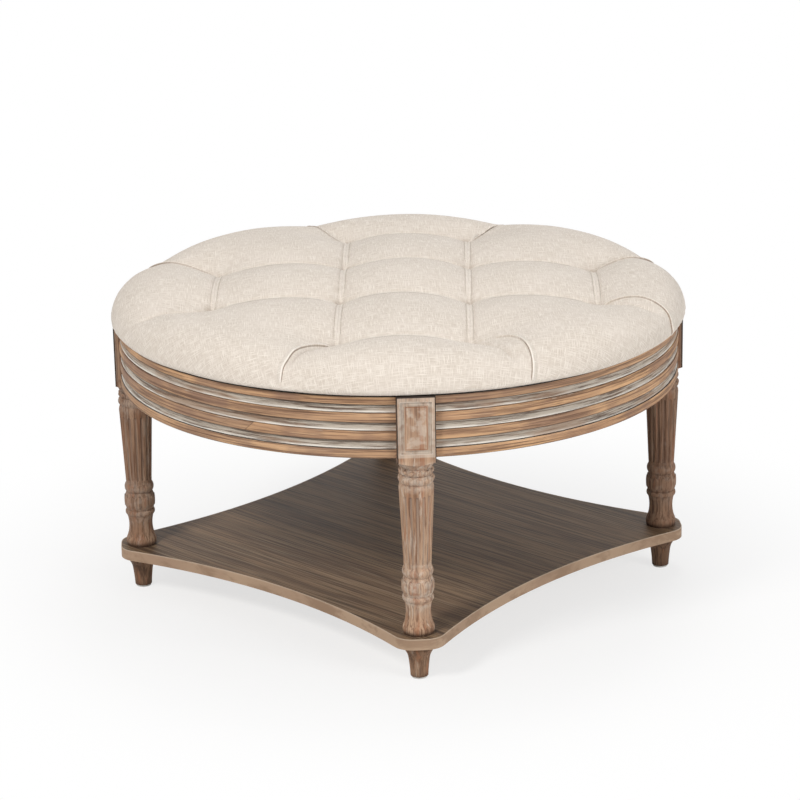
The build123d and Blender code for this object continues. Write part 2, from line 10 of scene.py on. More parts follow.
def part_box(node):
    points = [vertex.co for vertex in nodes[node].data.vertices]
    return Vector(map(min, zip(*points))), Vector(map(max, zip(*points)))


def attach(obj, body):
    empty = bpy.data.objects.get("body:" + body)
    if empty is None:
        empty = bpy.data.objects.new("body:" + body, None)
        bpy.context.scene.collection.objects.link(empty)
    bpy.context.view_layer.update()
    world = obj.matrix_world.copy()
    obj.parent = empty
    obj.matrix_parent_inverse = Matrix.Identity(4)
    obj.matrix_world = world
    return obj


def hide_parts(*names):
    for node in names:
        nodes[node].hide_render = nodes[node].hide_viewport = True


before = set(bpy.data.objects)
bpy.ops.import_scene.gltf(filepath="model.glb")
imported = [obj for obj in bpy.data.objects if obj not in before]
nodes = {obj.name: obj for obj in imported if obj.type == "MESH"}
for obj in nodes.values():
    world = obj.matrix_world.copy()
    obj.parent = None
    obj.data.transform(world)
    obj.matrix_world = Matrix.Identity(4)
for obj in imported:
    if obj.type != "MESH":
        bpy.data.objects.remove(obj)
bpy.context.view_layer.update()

# Places that the frame gives, in metres like every length here
SIDES = {"right": 0, "back": 90, "left": 180, "front": 270}
APRON_LOW, APRON_TOP = (corner.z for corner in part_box("apron_front_left"))
APRON_MIDDLE = (APRON_LOW + APRON_TOP) / 2
SHELF_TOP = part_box("shelf_veneer")[1].z
LEG_CIRCLE = (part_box("foot_right")[0].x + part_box("foot_right")[1].x) / 2
LEG_HEIGHT = APRON_LOW - SHELF_TOP
BLOCK_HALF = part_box("leg_right")[1].y
APRON_RADIUS = 0.389


# Node helpers

NODES_IN_ROW = 12
NODE_SPACING = (180, 260)


class Graph:
    """Short calls for adding and joining the nodes of one material or node group."""

    def __init__(self, tree):
        self.tree = tree
        self.count = 0

    def add(self, kind, inputs=None, **settings):
        node = self.tree.nodes.new(kind)
        self.count += 1
        row, column = divmod(self.count, NODES_IN_ROW)
        node.location = (column * NODE_SPACING[0], -row * NODE_SPACING[1])
        for name, value in settings.items():
            setattr(node, name, value)
        for key, value in (inputs or {}).items():
            self.feed(node.inputs[key], value)
        return node

    def feed(self, socket, value):
        """Gives a socket another node's output or a fixed value."""
        if isinstance(value, bpy.types.NodeSocket):
            self.tree.links.new(value, socket)
        else:
            socket.default_value = value

    def group(self, tree, inputs):
        return self.add("ShaderNodeGroup", inputs, node_tree=tree).outputs

    def math(self, operation, a, b=0.0, c=0.0, clamp=False):
        node = self.add("ShaderNodeMath", {0: a, 1: b, 2: c}, operation=operation, use_clamp=clamp)
        return node.outputs[0]

    def product(self, first, *others):
        for other in others:
            first = self.math("MULTIPLY", first, other)
        return first

    def ramp(self, value, low, high, to_low=0.0, to_high=1.0):
        """Smooth step of a value, falling where low lies above high."""
        inputs = {"Value": value, "From Min": low, "From Max": high, "To Min": to_low, "To Max": to_high}
        return self.add("ShaderNodeMapRange", inputs, interpolation_type="SMOOTHSTEP").outputs[0]

    def mask(self, value, low, high, most):
        """Smooth step of a value from none to the most."""
        return self.ramp(value, low, high, 0.0, most)

    def between(self, value, out, full, still_full, out_again):
        """A mask that rises from out to full and falls again from still_full to out_again."""
        return self.product(self.ramp(value, out, full), self.ramp(value, out_again, still_full))

    def mix(self, share, a, b, blend="MIX"):
        node = self.add("ShaderNodeMix", {0: share, 6: a, 7: b}, data_type="RGBA", blend_type=blend)
        return node.outputs[2]

    def noise(self, vector, scale, detail=4.0, roughness=0.55, distortion=0.0):
        inputs = {"Vector": vector, "Scale": scale, "Detail": detail, "Roughness": roughness,
                  "Distortion": distortion}
        return self.add("ShaderNodeTexNoise", inputs).outputs["Fac"]

    def streaks(self, vector, scale, detail=4.0, roughness=0.55, distortion=0.0):
        """Noise drawn out by a scale of its own along each axis."""
        drawn_out = self.add("ShaderNodeMapping", {"Vector": vector, "Scale": scale}).outputs[0]
        return self.noise(drawn_out, 1.0, detail, roughness, distortion)

    def object_place(self):
        return self.add("ShaderNodeTexCoord").outputs["Object"]

    def split(self, vector):
        return self.add("ShaderNodeSeparateXYZ", {0: vector}).outputs

    def join(self, x, y, z):
        return self.add("ShaderNodeCombineXYZ", {0: x, 1: y, 2: z}).outputs[0]

    def bump(self, height, strength, distance):
        inputs = {"Height": height, "Strength": strength, "Distance": distance}
        return self.add("ShaderNodeBump", inputs).outputs[0]


def new_group(name, inputs, outputs):
    """A node group with named sockets. Inputs are (name, kind, value) and outputs (name, kind)."""
    tree = bpy.data.node_groups.new(name, "ShaderNodeTree")
    for label, kind, value in inputs:
        socket = tree.interface.new_socket(label, in_out="INPUT", socket_type=kind)
        if value is not None:
            socket.default_value = value
    for label, kind in outputs:
        tree.interface.new_socket(label, in_out="OUTPUT", socket_type=kind)
    graph = Graph(tree)
    return graph, graph.add("NodeGroupInput"), graph.add("NodeGroupOutput")


def new_material(name, roughness=0.6, metallic=0.0, specular=0.5):
    material = bpy.data.materials.new(name)
    material.use_nodes = True
    material.node_tree.nodes.clear()
    graph = Graph(material.node_tree)
    shader = graph.add("ShaderNodeBsdfPrincipled",
                       {"Roughness": roughness, "Metallic": metallic, "Specular IOR Level": specular})
    graph.add("ShaderNodeOutputMaterial", {0: shader.outputs[0]})
    return material, graph, shader


def rgb(r, g, b):
    """Colour as it looks on a screen, from 0 to 255, as the shader's linear value."""
    def linear(v):
        v = v / 255
        return v / 12.92 if v <= 0.04045 else ((v + 0.055) / 1.055) ** 2.4
    return (linear(r), linear(g), linear(b), 1.0)


# Mesh helpers

def points_of(mesh):
    co = np.zeros(len(mesh.vertices) * 3, np.float32)
    mesh.vertices.foreach_get("co", co)
    return co.reshape(-1, 3).astype(float)


def set_points(mesh, co):
    mesh.vertices.foreach_set("co", co.astype(np.float32).ravel())
    mesh.update()


def normals_of(mesh):
    out = np.zeros(len(mesh.vertices) * 3, np.float32)
    mesh.vertices.foreach_get("normal", out)
    return out.reshape(-1, 3).astype(float)


def smooth_shading(mesh):
    mesh.polygons.foreach_set("use_smooth", np.ones(len(mesh.polygons), bool))
    mesh.update()


def apply_modifiers(piece):
    bpy.context.view_layer.update()
    evaluated = piece.evaluated_get(bpy.context.evaluated_depsgraph_get())
    mesh = bpy.data.meshes.new_from_object(evaluated)
    piece.modifiers.clear()
    piece.data = mesh


def new_piece(name, bm, material=None, body="root"):
    mesh = bpy.data.meshes.new(name)
    bm.to_mesh(mesh)
    bm.free()
    piece = bpy.data.objects.new(name, mesh)
    bpy.context.scene.collection.objects.link(piece)
    if material is not None:
        mesh.materials.append(material)
    if body is not None:
        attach(piece, body)
    return piece


def smoothstep(low, high, value):
    t = np.clip((value - low) / (high - low), 0, 1)
    return t * t * (3 - 2 * t)


def bell(distance, width):
    return np.exp(-(distance / width) ** 2)


# Cushion: crown section, tuft grid and puffs

# Radius and height down the cover from its middle to its foot on the apron
CROWN_PROFILE = [(0.0, 0.4607), (0.05, 0.4598), (0.10, 0.4572), (0.15, 0.4540), (0.20, 0.4512),
                 (0.26, 0.4488), (0.30, 0.4473), (0.33, 0.4456), (0.355, 0.4424), (0.375, 0.4360),
                 (0.3895, 0.4255), (0.3972, 0.4125), (0.4000, 0.4015), (0.3995, 0.3973), (0.3970, 0.3948),
                 (0.3910, 0.3940)]
PROFILE_STEPS = 160
TOP_STEPS = 120
TOP_RADIUS = 0.33
SPIN_STEPS = 160
FOOT_CLEARANCE = 0.0004
FINE_VOXEL = 0.005

PITCH = 0.176
GRID_TURN = math.radians(-4)
GRID_SHIFT = 0.011
GRID_X = np.array([math.cos(GRID_TURN), math.sin(GRID_TURN)])
GRID_Y = np.array([-math.sin(GRID_TURN), math.cos(GRID_TURN)])
ORIGIN = np.array([GRID_SHIFT, 0.0])
PUFF_RADIUS = 0.285
PUFFS = [(i, j) for i in range(-2, 3) for j in range(-2, 3) if abs(i) + abs(j) <= 2]
TUFTS = [(i, j) for i in (-3, -1, 1, 3) for j in (-3, -1, 1, 3) if abs(i) + abs(j) < 6]

# Share of the puffs' depth that is lost between two radii on the way to the rim, and where the depth
# begins: heights over the apron, and how far the cover's normal points up
RIM_LOSSES = [(0.66, 0.275, 0.362), (0.24, 0.368, 0.397)]
FOOT_FADE = (0.0005, 0.012)
UNDERSIDE_FADE = (-0.2, 0.1)
DIMPLE_DEPTH = 0.0025
DIMPLE_WIDTH = 0.009

# Stuffing: where the cover is held, how hard it is blown up and how far a point may go
TUFT_HOLD_WIDTH = 0.010
VALLEY_HOLD = 0.35
VALLEY_HOLD_WIDTH = 0.006
FOOT_HOLD = (0.004, 0.012)
LEAST_HOLD = 0.02
CLOTH_SETTINGS = {"quality": 5, "mass": 0.3, "tension_stiffness": 15, "compression_stiffness": 8,
                  "shear_stiffness": 5, "bending_stiffness": 0.3, "use_pressure": True,
                  "uniform_pressure_force": 4, "vertex_group_mass": "held"}
STUFFING_FRAMES = 20
LARGEST_MOVE = 0.007

# Sewn lines and pulls drawn in after the stuffing, and the painted shade in them
LINE_DEPTH = 0.0030
LINE_WIDTH = 0.0040
PULL_DEPTH = 0.0032
PULL_WIDTH = 0.008
WAVE_HEIGHT = 0.0007
WAVE_START = (0.004, 0.012)
WAVE_REACH = 0.024
WAVES_ROUND_TUFT = 8
UNEVEN_HEIGHT = 0.0012
UNEVEN_SCALE = 9
CREASED_RADIUS = (0.355, 0.385)
UPPER_SIDE = (0.0, 0.4)
LINE_SHADES = [(0.20, 0.005), (0.10, 0.022)]
TUFT_SHADE = 0.22
TUFT_SHADE_WIDTH = 0.012


def smooth_profile(points, steps):
    """Points along a smooth line through the given ones, evenly spaced."""
    given = np.array(points)
    gaps = np.r_[0, np.cumsum(np.linalg.norm(np.diff(given, axis=0), axis=1))]
    slopes = np.gradient(given, gaps, axis=0)
    out = []
    for s in np.linspace(0, gaps[-1], steps):
        k = min(np.searchsorted(gaps, s, side="right") - 1, len(given) - 2)
        h = gaps[k + 1] - gaps[k]
        t = (s - gaps[k]) / h
        out.append((2 * t ** 3 - 3 * t ** 2 + 1) * given[k] + (t ** 3 - 2 * t ** 2 + t) * h * slopes[k]
                   + (3 * t ** 2 - 2 * t ** 3) * given[k + 1] + (t ** 3 - t ** 2) * h * slopes[k + 1])
    return np.array(out)


# The section, the way along the cloth to each of its points, and its direction there
PROFILE = smooth_profile(CROWN_PROFILE, PROFILE_STEPS)
PROFILE_RUN = np.r_[0, np.cumsum(np.linalg.norm(np.diff(PROFILE, axis=0), axis=1))]
PROFILE_WAY = np.gradient(PROFILE, PROFILE_RUN, axis=0)
RIM_RUN = PROFILE_RUN[-1]


def on_grid(i, j):
    """Plan place of a grid point counted in half pitches."""
    return ORIGIN + i * PITCH / 2 * GRID_X + j * PITCH / 2 * GRID_Y


def puff_depths(xy):
    """Depth under the crown by the nearest puff and by the next one. Outer puffs run out to the rim."""
    depths = []
    for i, j in PUFFS:
        offset = xy - on_grid(2 * i, 2 * j)
        square = (offset ** 2).sum(1)
        if abs(i) + abs(j) == 2:
            outward = i * GRID_X + j * GRID_Y
            outward = outward / np.linalg.norm(outward)
            along = np.maximum(offset @ outward, 0)
            square = square - along ** 2
        depths.append(square / (2 * PUFF_RADIUS))
    stacked = np.sort(np.array(depths), axis=0)
    return stacked[0], stacked[1]


def valley_distance(xy):
    """Plan distance from the line where two puffs meet."""
    nearest, second = puff_depths(xy)
    return (second - nearest) * PUFF_RADIUS / PITCH


def tuft_distance(xy):
    gaps = [np.linalg.norm(xy - on_grid(i, j), axis=1) for i, j in TUFTS]
    return np.min(gaps, axis=0)


def cloth_run(co):
    """Cloth coordinates of points on the cover: the way from the middle along the section."""
    radius = np.hypot(co[:, 0], co[:, 1])
    run = np.interp(radius, PROFILE[:TOP_STEPS, 0], PROFILE_RUN[:TOP_STEPS])
    rim = radius > TOP_RADIUS
    section = np.c_[radius[rim], co[rim, 2]]
    nearest = np.linalg.norm(section[:, None, :] - PROFILE[None, :, :], axis=2).argmin(1)
    run[rim] = PROFILE_RUN[nearest] + ((section - PROFILE[nearest]) * PROFILE_WAY[nearest]).sum(1)
    way = co[:, :2] / np.maximum(radius, 1e-6)[:, None]
    return way * run[:, None]


def stuffed_body():
    """The cover's closed shape before it is stuffed: the crown section spun round."""
    bm = bmesh.new()
    foot = APRON_TOP + FOOT_CLEARANCE
    section = [bm.verts.new((r, 0, z)) for r, z in PROFILE[::2]]
    section.append(bm.verts.new((PROFILE[-1][0], 0, foot)))
    section.append(bm.verts.new((0, 0, foot)))
    edges = [bm.edges.new(pair) for pair in zip(section, section[1:])]
    bmesh.ops.spin(bm, geom=section + edges, cent=(0, 0, 0), axis=(0, 0, 1), angle=math.tau,
                   steps=SPIN_STEPS, use_merge=True)
    bmesh.ops.remove_doubles(bm, verts=bm.verts, dist=1e-5)
    bmesh.ops.recalc_face_normals(bm, faces=bm.faces)
    return new_piece("cushion", bm)


def sink_puffs(mesh):
    """Moves the cover in along its own normal to the puffs' depth."""
    co = points_of(mesh)
    normal = normals_of(mesh)
    depth = puff_depths(co[:, :2])[0]
    radius = np.hypot(co[:, 0], co[:, 1])
    reach = 1 - sum(loss * smoothstep(start, end, radius) for loss, start, end in RIM_LOSSES)
    reach *= smoothstep(*FOOT_FADE, co[:, 2] - APRON_TOP)
    reach *= smoothstep(*UNDERSIDE_FADE, normal[:, 2])
    dimple = DIMPLE_DEPTH * bell(tuft_distance(co[:, :2]), DIMPLE_WIDTH)
    set_points(mesh, co - normal * ((depth + dimple) * reach)[:, None])


def hold_cover(piece, co):
    """Holds the cover at its tufts and foot, and partly along its valleys."""
    held = piece.vertex_groups.new(name="held")
    hold = np.maximum(bell(tuft_distance(co[:, :2]), TUFT_HOLD_WIDTH),
                      VALLEY_HOLD * bell(valley_distance(co[:, :2]), VALLEY_HOLD_WIDTH))
    hold = np.maximum(hold, 1 - smoothstep(*FOOT_HOLD, co[:, 2] - APRON_TOP))
    for index, value in enumerate(hold):
        if value > LEAST_HOLD:
            held.add([index], float(value), "REPLACE")


def stuff(piece):
    """Blows the cover up a little against its tufts, then keeps each point within a short way."""
    before = points_of(piece.data)
    hold_cover(piece, before)
    cloth = piece.modifiers.new("cloth", "CLOTH")
    for name, value in CLOTH_SETTINGS.items():
        setattr(cloth.settings, name, value)
    cloth.settings.effector_weights.gravity = 0
    cloth.collision_settings.use_collision = False
    scene = bpy.context.scene
    for timed in (scene, cloth.point_cache):
        timed.frame_start = 1
        timed.frame_end = STUFFING_FRAMES
    for step in range(1, STUFFING_FRAMES + 1):
        scene.frame_set(step)
    apply_modifiers(piece)
    scene.frame_set(1)
    move = points_of(piece.data) - before
    length = np.maximum(np.linalg.norm(move, axis=1), 1e-9)
    set_points(piece.data, before + move * (np.minimum(length, LARGEST_MOVE) / length)[:, None])


def tuft_waves(xy):
    """Small folds that run out from each tuft like spokes."""
    waves = np.zeros(len(xy))
    for i, j in TUFTS:
        gap = xy - on_grid(i, j)
        angle = np.arctan2(gap[:, 1], gap[:, 0])
        reach = np.linalg.norm(gap, axis=1)
        fade = bell(reach, WAVE_REACH) * smoothstep(*WAVE_START, reach)
        waves += WAVE_HEIGHT * fade * np.cos(WAVES_ROUND_TUFT * angle + 1.3 * i + 0.7 * j)
    return waves


def set_shade(mesh, values):
    """Share of painted shade deep in the cloth's folds, or of painted highlight where it is below zero."""
    layer = mesh.attributes.new("shade", "FLOAT", "POINT")
    layer.data.foreach_set("value", np.clip(values, -1, 1).astype(np.float32))


def crease(mesh):
    """Draws the sewn valleys and the tufts in after stuffing, with fine pulls at each tuft."""
    co = points_of(mesh)
    normal = normals_of(mesh)
    valley = valley_distance(co[:, :2])
    tuft = tuft_distance(co[:, :2])
    radius = np.hypot(co[:, 0], co[:, 1])
    upper = smoothstep(*UPPER_SIDE, normal[:, 2]) * (1 - smoothstep(*CREASED_RADIUS, radius))
    sunk = LINE_DEPTH * bell(valley, LINE_WIDTH) + PULL_DEPTH * bell(tuft, PULL_WIDTH)
    sunk = (sunk + tuft_waves(co[:, :2])) * upper
    uneven = np.array([noise.noise(Vector(p) * UNEVEN_SCALE) for p in co]) * UNEVEN_HEIGHT
    set_points(mesh, co - normal * (sunk - uneven)[:, None])
    # Painted shade along the valleys and at the tufts, on the upper side only
    dark = sum(share * bell(valley, width) for share, width in LINE_SHADES)
    set_shade(mesh, (dark + TUFT_SHADE * bell(tuft, TUFT_SHADE_WIDTH)) * upper)


def add_cloth_map(mesh):
    """UV map in metres of cloth, so that the weave follows the cover over the rim."""
    flat = cloth_run(points_of(mesh))
    layer = mesh.uv_layers.new(name="cloth")
    loops = np.zeros(len(mesh.loops), np.int32)
    mesh.loops.foreach_get("vertex_index", loops)
    layer.data.foreach_set("uv", flat[loops].astype(np.float32).ravel())


cushion = stuffed_body()
remesh = cushion.modifiers.new("remesh", "REMESH")
remesh.mode = "VOXEL"
remesh.voxel_size = FINE_VOXEL
apply_modifiers(cushion)
sink_puffs(cushion.data)
stuff(cushion)
finer = cushion.modifiers.new("finer", "SUBSURF")
finer.levels = finer.render_levels = 1
apply_modifiers(cushion)
crease(cushion.data)
add_cloth_map(cushion.data)
smooth_shading(cushion.data)
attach(cushion, "root")
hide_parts("cushion_cover", "cushion_foam")

cover_tree = BVHTree.FromObject(cushion, bpy.context.evaluated_depsgraph_get())


# Pleats in the cover

# Place across, rise above the cover and painted shade of each lengthwise line of a pleat, painted highlight
# where it is below zero
FLAT_PLEAT = [(-0.60, -0.0010, 0.1), (-0.52, 0.0002, 0.95), (-0.46, 0.0016, 0.2), (-0.32, 0.0022, -0.4),
              (0.0, 0.0020, 0.05), (0.32, 0.0022, -0.4), (0.46, 0.0016, 0.2), (0.52, 0.0002, 0.80),
              (0.60, -0.0010, 0.1)]
LAPPED_PLEAT = [(-0.75, -0.0012, 0.0), (-0.35, 0.0010, 0.0), (0.05, 0.0024, -0.2), (0.24, 0.0031, -0.9),
                (0.32, 0.0029, -0.4), (0.37, 0.0020, 1.0), (0.43, 0.0000, 1.0), (0.48, -0.0006, 0.2),
                (0.80, -0.0014, 0.0)]
TURNED_PLEAT = [(-across, rise, shade) for across, rise, shade in reversed(LAPPED_PLEAT)]
ROW_PLEAT = [(-0.75, -0.0012, 0.0), (-0.54, -0.0002, 0.40), (-0.42, 0.0010, 0.55), (-0.34, 0.0022, 0.15),
             (-0.27, 0.0029, -0.9), (-0.07, 0.0027, -0.8), (0.20, 0.0014, -0.1), (0.60, -0.0012, 0.0)]
PLEAT_WIDTH = 0.0095
ROW_PLEAT_WIDTH = 0.016
PLEAT_SINK = 0.0004
# How fast a pleat rises at its ends, its width at them and the stretch where the early painted shade ends
END_STEEPNESS = 7
END_ROUNDNESS = 0.6
END_WIDTH = 0.4
EARLY_SPAN = (0.40, 0.75)
TUFT_CLEARANCE = 0.04
RAY_START = 0.03
RAY_LENGTH = 0.12

# Outer pleats: the angle of their ends from the grid's axes and how far they lead off sideways
PLEAT_END = 0.972 * RIM_RUN
PLEAT_ORIGIN = ORIGIN * 0.6
RIM_ANGLE = math.radians(22.5)
FRONT_LEAD = 0.045
SIDE_LEAD = 0.085
BACK_LEAD_ON = 0.4
BACK_LEAD_ASIDE = 0.3
OUTER_STEPS = 80
RIM_STEEPNESS = 25
SOFT_VALLEY_TUFT = (-3, -1)
# The front right pleat starts off its tuft and has less painted shade there than the others
SPREAD_TUFT = (1, -3)
SPREAD_START = 0.030
SPREAD_TURN = math.radians(3)
SPREAD_EARLY_SHADE = 0.25
OUTER_EARLY_SHADE = 0.55


def on_cover(flat):
    """Place and normal on the finished cover at cloth coordinates, met square to the crown section."""
    run = min(float(np.hypot(*flat)), RIM_RUN)
    way = np.array(flat) / max(np.hypot(*flat), 1e-9)
    radius, height = (np.interp(run, PROFILE_RUN, PROFILE[:, axis]) for axis in (0, 1))
    slope, drop = (np.interp(run, PROFILE_RUN, PROFILE_WAY[:, axis]) for axis in (0, 1))
    outward = Vector((-drop * way[0], -drop * way[1], slope)).normalized()
    start = Vector((way[0] * radius, way[1] * radius, height)) + outward * RAY_START
    spot, normal = cover_tree.ray_cast(start, -outward, RAY_LENGTH)[:2]
    if spot is None:
        spot, normal = cover_tree.find_nearest(start)[:2]
    return spot, normal


def along_path(path, t):
    """Place and direction at a share t of a straight or curved path of two or three points."""
    if len(path) == 3:
        spot = (1 - t) ** 2 * path[0] + 2 * t * (1 - t) * path[1] + t * t * path[2]
        way = 2 * (1 - t) * (path[1] - path[0]) + 2 * t * (path[2] - path[1])
    else:
        spot = (1 - t) * path[0] + t * path[1]
        way = path[1] - path[0]
    return spot, way / np.linalg.norm(way)


def fold(name, path, width, section, steps=48, last_steepness=END_STEEPNESS, early=1.0):
    """A pleat of the cover along a line of cloth: a lapped strip whose lengthwise lines stand above the
    cover by the section's rises and carry its shades as painted shade and painted highlight, sunk at
    both ends. Its first half carries only the early share of that painted shade and highlight."""
    bm = bmesh.new()
    rows, shades = [], []
    for k in range(steps + 1):
        t = k / steps
        spot, way = along_path(path, t)
        side = np.array([-way[1], way[0]])
        fade = min(1.0, END_STEEPNESS * t, last_steepness * (1 - t)) ** END_ROUNDNESS
        spread = width * (END_WIDTH + (1 - END_WIDTH) * fade)
        # Share of the section's painted shade and highlight at this point along the pleat
        painted_shade_share = fade * (early + (1 - early) * float(smoothstep(*EARLY_SPAN, t)))
        row = []
        for across, rise, shade in section:
            on_line, normal = on_cover(spot + side * across * spread)
            row.append(bm.verts.new(on_line + normal * (rise * fade - PLEAT_SINK)))
            shades.append(shade * painted_shade_share)
        rows.append(row)
    for row, after in zip(rows, rows[1:]):
        for corners in zip(row, row[1:], after[1:], after):
            bm.faces.new(corners)
    bmesh.ops.recalc_face_normals(bm, faces=bm.faces)
    piece = new_piece(name, bm)
    set_shade(piece.data, np.array(shades))
    add_cloth_map(piece.data)
    smooth_shading(piece.data)
    return piece


pleats = []


def add_pleat(path, width, section, **settings):
    pleats.append(fold(f"pleat_{len(pleats)}", path, width, section, **settings))


def add_valley_pleat(a, b, width, section):
    """A pleat along the valley from tuft to tuft, short of both."""
    start, end = on_grid(*a), on_grid(*b)
    add_pleat([start + (end - start) * share for share in (TUFT_CLEARANCE, 1 - TUFT_CLEARANCE)],
              width, section)


def add_outer_pleat(i, j):
    """A pleat from an outer tuft to the rim."""
    spread = (i, j) == SPREAD_TUFT
    at_front_or_back = abs(j) == 3
    start = on_grid(i, j)
    end_angle = GRID_TURN
    if spread:
        start = start + SPREAD_START * GRID_X
        end_angle += SPREAD_TURN
    if at_front_or_back:
        end_angle += math.atan2(j, 0) - math.copysign(RIM_ANGLE, i * j)
    else:
        end_angle += (0 if i > 0 else math.pi) + math.copysign(RIM_ANGLE, i * j)
    end = PLEAT_ORIGIN + PLEAT_END * np.array([math.cos(end_angle), math.sin(end_angle)])
    lead = math.copysign(FRONT_LEAD if at_front_or_back else SIDE_LEAD, i) * GRID_X
    if j > 0:
        lead = (end - start) * BACK_LEAD_ON + lead * BACK_LEAD_ASIDE
    lap_faces_front = (i * j < 0) == (j > 0)
    add_pleat([start, start + lead, end], PLEAT_WIDTH, LAPPED_PLEAT if lap_faces_front else TURNED_PLEAT,
              steps=OUTER_STEPS, last_steepness=RIM_STEEPNESS,
              early=SPREAD_EARLY_SHADE if spread else OUTER_EARLY_SHADE)


for i, j in TUFTS:
    if (i, j + 2) in TUFTS:
        add_valley_pleat((i, j), (i, j + 2), PLEAT_WIDTH, FLAT_PLEAT)
    if (i + 2, j) in TUFTS:
        add_valley_pleat((i, j), (i + 2, j), ROW_PLEAT_WIDTH, ROW_PLEAT)
for i, j in TUFTS:
    if abs(i) + abs(j) == 4 and (i, j) != SOFT_VALLEY_TUFT:
        add_outer_pleat(i, j)


# Twine, drawn up to the tufts of this cover and knotted under the seat board

TWINE_RADIUS = 0.00125
KNOT_RADIUS = 0.004
KNOT_HEIGHT = 0.0024
TWINE_GAP = 0.002
ABOVE_CUSHION = 0.6
TWINE_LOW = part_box("tufting_twine")[0].z


def drawn_twine():
    bm = bmesh.new()
    for i, j in TUFTS:
        x, y = (float(v) for v in on_grid(i, j))
        tuft = cover_tree.ray_cast(Vector((x, y, ABOVE_CUSHION)), Vector((0, 0, -1)))[0]
        for radius, height in ((KNOT_RADIUS, KNOT_HEIGHT), (TWINE_RADIUS, tuft.z - TWINE_GAP - TWINE_LOW)):
            bmesh.ops.create_cone(bm, cap_ends=True, segments=16, radius1=radius, radius2=radius,
                                  depth=height, matrix=Matrix.Translation((x, y, TWINE_LOW + height / 2)))
    return new_piece("drawn_twine", bm)


twine = drawn_twine()
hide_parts("tufting_twine")


# Carving on the legs

TURNED_RADIUS = 0.023
# Height as a share of the leg's, radius as a share of the turned one, number of beads, their half sizes
# and how far they lean
CARVED_ROWS = [(0.916, 0.925, 13, (0.0021, 0.0050, 0.0032), 0.55),
               (0.872, 0.945, 13, (0.0023, 0.0050, 0.0038), -0.50),
               (0.271, 0.895, 12, (0.0010, 0.0044, 0.0090), 0.0)]


def bead_row(bm, axis, height, radius, count, size, lean):
    """A row of oval beads round a leg at one height, each leaning along the row."""
    for k in range(count):
        turn = math.tau * k / count
        out = Vector((math.cos(turn), math.sin(turn), 0))
        matrix = Matrix.Translation(Vector((*axis, height)) + out * radius) @ \
            Matrix.Rotation(turn, 4, "Z") @ Matrix.Rotation(lean, 4, "X") @ Matrix.Diagonal((*size, 1))
        bmesh.ops.create_uvsphere(bm, u_segments=12, v_segments=8, radius=1, matrix=matrix)


def leg_carving(side):
    turn = math.radians(SIDES[side])
    axis = (LEG_CIRCLE * math.cos(turn), LEG_CIRCLE * math.sin(turn))
    bm = bmesh.new()
    for share, radius, count, size, lean in CARVED_ROWS:
        bead_row(bm, axis, SHELF_TOP + share * LEG_HEIGHT, radius * TURNED_RADIUS, count, size, lean)
    carving = new_piece(f"carving_{side}", bm)
    smooth_shading(carving.data)
    return carving


carvings = [leg_carving(side) for side in SIDES]


# Camera, at the photograph's viewing angle

IMAGE_WIDTH = 800
SENSOR_WIDTH = 36
FOCAL_PIXELS = 2939.13
CAMERA_TARGET = (0, 0, 0.235)
CAMERA_AZIMUTH = math.radians(-2.938)
CAMERA_ELEVATION = math.radians(17.729)
CAMERA_ROLL = math.radians(-1.076)
CAMERA_DISTANCE = 4.14424
CAMERA_RIGHT = 0.00018
CAMERA_UP = 0.0268


def look(position, target, roll=0.0):
    """Matrix of a camera or lamp at a position that looks at a target."""
    back = (Vector(position) - Vector(target)).normalized()
    right = Vector((0, 0, 1)).cross(back).normalized()
    up = back.cross(right)
    c, s = math.cos(roll), math.sin(roll)
    matrix = Matrix((right * c + up * s, up * c - right * s, back)).transposed().to_4x4()
    matrix.translation = Vector(position)
    return matrix


def add_camera():
    level = math.cos(CAMERA_ELEVATION)
    back = Vector((math.sin(CAMERA_AZIMUTH) * level, -math.cos(CAMERA_AZIMUTH) * level,
                   math.sin(CAMERA_ELEVATION)))
    right = Vector((math.cos(CAMERA_AZIMUTH), math.sin(CAMERA_AZIMUTH), 0))
    offset = back * CAMERA_DISTANCE + right * CAMERA_RIGHT + back.cross(right) * CAMERA_UP
    place = Vector(CAMERA_TARGET) + offset
    camera = bpy.data.objects.new("camera", bpy.data.cameras.new("camera"))
    bpy.context.scene.collection.objects.link(camera)
    camera.data.lens = FOCAL_PIXELS * SENSOR_WIDTH / IMAGE_WIDTH
    camera.data.sensor_width = SENSOR_WIDTH
    camera.matrix_world = look(place, place - back, CAMERA_ROLL)
    bpy.context.scene.camera = camera


add_camera()


# Floor, world and lamps

WHITE = (1, 1, 1, 1)
FLOOR_GREY = (0.82, 0.82, 0.82, 1)
FLOOR_HALF = 60
# The floor goes over into pure white between these distances from the table's middle
WHITE_FROM = 0.25
WHITE_TO = 0.80
WHITE_SHARE_NEAR = 0.70
WORLD_COLOUR = (1.0, 0.98, 0.96, 1)
WORLD_STRENGTH = 0.28


def seen_directly(graph):
    """Mask of the rays that come from the camera or off a glossy surface."""
    paths = graph.add("ShaderNodeLightPath").outputs
    return graph.math("MAXIMUM", paths["Is Camera Ray"], paths["Is Glossy Ray"])


def floor_material():
    """Pale floor that keeps the shadow near the table and is white further off."""
    material, graph, shader = new_material("pale_floor", roughness=0.9, specular=0.2)
    shader.inputs["Base Color"].default_value = FLOOR_GREY
    away = graph.add("ShaderNodeVectorMath", {0: graph.object_place()}, operation="LENGTH").outputs["Value"]
    white = graph.add("ShaderNodeEmission", {"Color": WHITE, "Strength": 1.0})
    share = graph.product(seen_directly(graph), graph.ramp(away, WHITE_FROM, WHITE_TO, WHITE_SHARE_NEAR, 1.0))
    blend = graph.add("ShaderNodeMixShader", {0: share, 1: shader.outputs[0], 2: white.outputs[0]})
    output = next(node for node in graph.tree.nodes if node.type == "OUTPUT_MATERIAL")
    graph.feed(output.inputs[0], blend.outputs[0])
    return material


